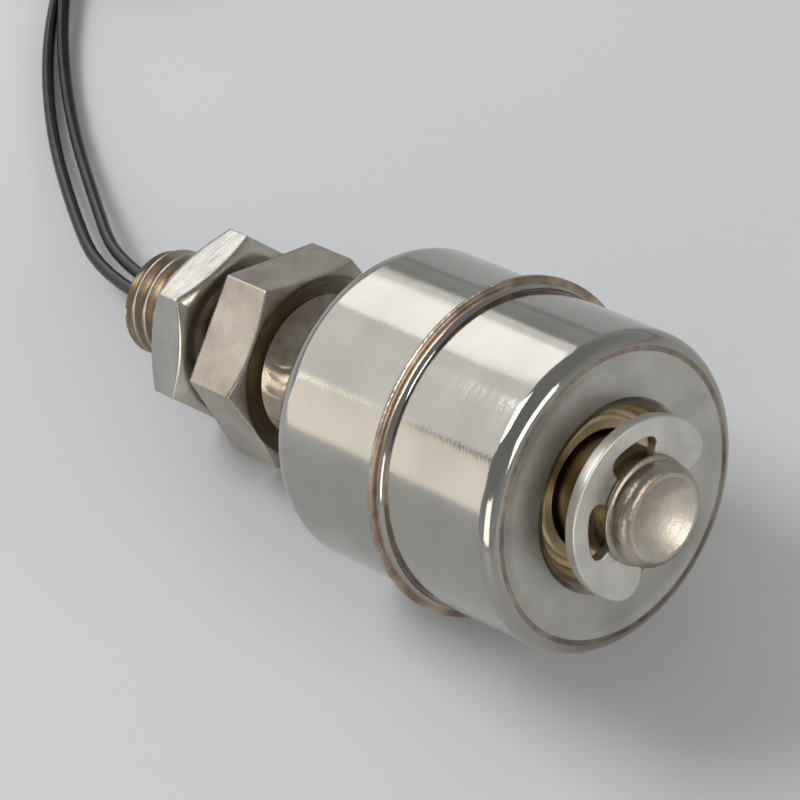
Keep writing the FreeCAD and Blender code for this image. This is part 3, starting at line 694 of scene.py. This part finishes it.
# ---- Tube through the float -----------------------------------------------------------------
# Thin stainless tube that the stem runs in, flanged over the floor of each mouth. Its light golden colour is
# heat tint plus a painted gleam that lifts the shade inside the mouth.
front = FRONT_LONG - FRONT_MOUTH
rear = -(REAR_LONG - REAR_MOUTH)
tube_outline = [(rear, TUBE_OUT_R), (rear, 6.4), (rear - 0.15, 6.4), (rear - 0.35, 6.1),
                (rear - 0.35, TUBE_IN_R + 0.15), (rear - 0.2, TUBE_IN_R), (front + 0.2, TUBE_IN_R),
                (front + 0.35, TUBE_IN_R + 0.15), (front + 0.35, 6.1), (front + 0.15, 6.4), (front, 6.4),
                (front, TUBE_OUT_R)]
bore_tube = place_piece("float_tube", lathe(tube_outline), "float", 45)
bore_tube.data.materials.append(steel("stainless_steel_drawn_tube_painted_gleam", "#efdfba", "#b8a47c", 0.4, 0.4, 0.003,
                                      0.3, 0.006))
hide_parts("float_bore_tube")

# ---- Retaining clip and hidden pieces -------------------------------------------------------
# The clip is stamped from stainless sheet and tumbled, so its edges are soft and its faces
# satin.  The magnet, reed contact, solder and resin are inside and barely seen.
clip_steel = steel("stainless_steel_tumbled", "#dad8d2", "#c4c2bc", 0.36, 1.5, 0.002, 0.16, 0.012)
ferrite = steel("ferrite_sintered", "#3a3836", "#2d2b2a", 0.6, 1.0, 0.003, 0.2, 0.01)
solder = steel("solder_tin_lead", "#bdbcb8", "#a5a4a0", 0.35, 1.0, 0.003, 0.3, 0.01)


def dielectric(name, light, dark, rough, grain_mm, depth, ior, see_through=0.0):
    """A plain moulded or cast material with a fine grain."""
    material, tree = new_material(name)
    spot = add(tree, "TexCoord", {}).outputs["Object"]
    grain = add(tree, "TexNoise", {"Vector": spot, "Scale": 1 / (grain_mm * MM), "Detail": 4})
    tone = add(tree, "ValToRGB", {"Fac": grain.outputs["Fac"]}, stops=((0.3, dark), (0.7, light)))
    bump = add(tree, "Bump", {"Height": grain.outputs["Fac"], "Strength": 1.0, "Distance": depth * MM})
    shader = add(tree, "BsdfPrincipled", {"Base Color": tone.outputs["Color"], "Roughness": rough, "IOR": ior,
                                          "Transmission Weight": see_through,
                                          "Normal": bump.outputs["Normal"]})
    add(tree, "OutputMaterial", {"Surface": shader.outputs["BSDF"]})
    return material


resin = dielectric("epoxy_cast_black", "#1e1c1a", "#141312", 0.3, 1.2, 0.01, 1.5)
glass = dielectric("soda_glass_drawn", "#cfe0d8", "#c2d6cd", 0.05, 3.0, 0.001, 1.52, 0.9)
sleeve = dielectric("heat_shrink_clear", "#c9c6bd", "#b9b6ac", 0.35, 0.8, 0.005, 1.5, 0.6)
tie_plastic = dielectric("pvc_tie_black", "#232324", "#161617", 0.4, 0.5, 0.01, 1.53)
finishes = {"e_clip": clip_steel, "ring_magnet": ferrite, "magnet_washer_front": clip_steel,
            "magnet_washer_rear": clip_steel, "reed_glass": glass, "reed_blade_near": solder,
            "reed_blade_far": solder, "reed_sleeve": sleeve, "lead_a_inside": black_pvc,
            "lead_b_inside": black_pvc, "solder_near": solder, "solder_far": solder, "potting": resin,
            "coil_tie": tie_plastic}
for node, material in finishes.items():
    mesh = frame["nodes"][node].data
    if not mesh.materials:
        mesh.materials.append(material)
    for i in range(len(mesh.materials)):
        frame["nodes"][node].material_slots[i].material = material

# ---- Floor ----------------------------------------------------------------------------------
# A plain pale studio floor, large enough to fill every view.
floor_mesh = bpy.data.meshes.new("floor")
reach = 3.0
floor_mesh.from_pydata([(-reach, -reach, 0), (reach, -reach, 0), (reach, reach, 0), (-reach, reach, 0)], [],
                       [(0, 1, 2, 3)])
floor = bpy.data.objects.new("floor", floor_mesh)
floor.location.z = -0.02 * MM
bpy.context.collection.objects.link(floor)
paper, tree = new_material("studio_floor_pale_grey")
spot = add(tree, "TexCoord", {}).outputs["Object"]
grain = add(tree, "TexNoise", {"Vector": spot, "Scale": 1 / (0.9 * MM), "Detail": 3})
bump = add(tree, "Bump", {"Height": grain.outputs["Fac"], "Strength": 0.3, "Distance": 0.05 * MM})
shader = add(tree, "BsdfPrincipled", {"Base Color": linear("#cbcdd0"), "Roughness": 0.6,
                                      "Normal": bump.outputs["Normal"]})
add(tree, "OutputMaterial", {"Surface": shader.outputs["BSDF"]})
floor_mesh.materials.append(paper)


# ---- Light ----------------------------------------------------------------------------------
# A window and a broad panel behind the hexagon, whose reflections lie along the polished
# float, a soft box high up at the back for the shadows, a weak one at the side, and one in
# front that shapes the knob's dish.
def soft_box(name, azimuth, elevation, distance, width, height, radiance, colour):
    """A rectangle of light that faces the switch; radiance 1 is white."""
    lamp = bpy.data.lights.new(name, "AREA")
    lamp.shape = "RECTANGLE"
    lamp.size = width
    lamp.size_y = height
    lamp.energy = pi * width * height * radiance
    lamp.color = linear(colour)[:3]
    way = Vector((cos(radians(azimuth)) * cos(radians(elevation)),
                  sin(radians(azimuth)) * cos(radians(elevation)), sin(radians(elevation))))
    piece = bpy.data.objects.new(name, lamp)
    piece.location = Vector((0, 0, 0.014)) + way * distance
    piece.rotation_euler = way.to_track_quat("Z", "Y").to_euler()
    piece.visible_camera = False
    bpy.context.collection.objects.link(piece)


soft_box("window_box", -139, 10.5, 0.8, 0.36, 0.33, 1.15, "#fff3e4")
soft_box("sky_panel", 174, 28, 1.0, 1.4, 0.5, 0.9, "#fffdf8")
soft_box("back_box", 154, 26, 0.9, 0.36, 0.26, 0.9, "#fffefa")
soft_box("high_box", -163, 50, 0.9, 0.42, 0.36, 9.0, "#ffffff")
soft_box("side_box", -68, 15, 0.8, 0.45, 0.36, 2.4, "#fffaf2")
soft_box("front_box", 6, 26, 0.8, 0.4, 0.3, 5.0, "#fff6ea")
world = bpy.data.worlds.new("room")
bpy.context.scene.world = world
world.use_nodes = True
tree = world.node_tree
tree.nodes.clear()
way = add(tree, "SeparateXYZ", {"Vector": add(tree, "TexCoord", {}).outputs["Generated"]})
level = add(tree, "MapRange", {"Value": way.outputs["Z"], "From Min": 0.05, "From Max": 0.6,
                               "To Min": 0.52, "To Max": 0.32})
room = add(tree, "Background", {"Color": linear("#f6f8fa"), "Strength": level.outputs["Result"]})
add(tree, "OutputWorld", {"Surface": room.outputs["Background"]})
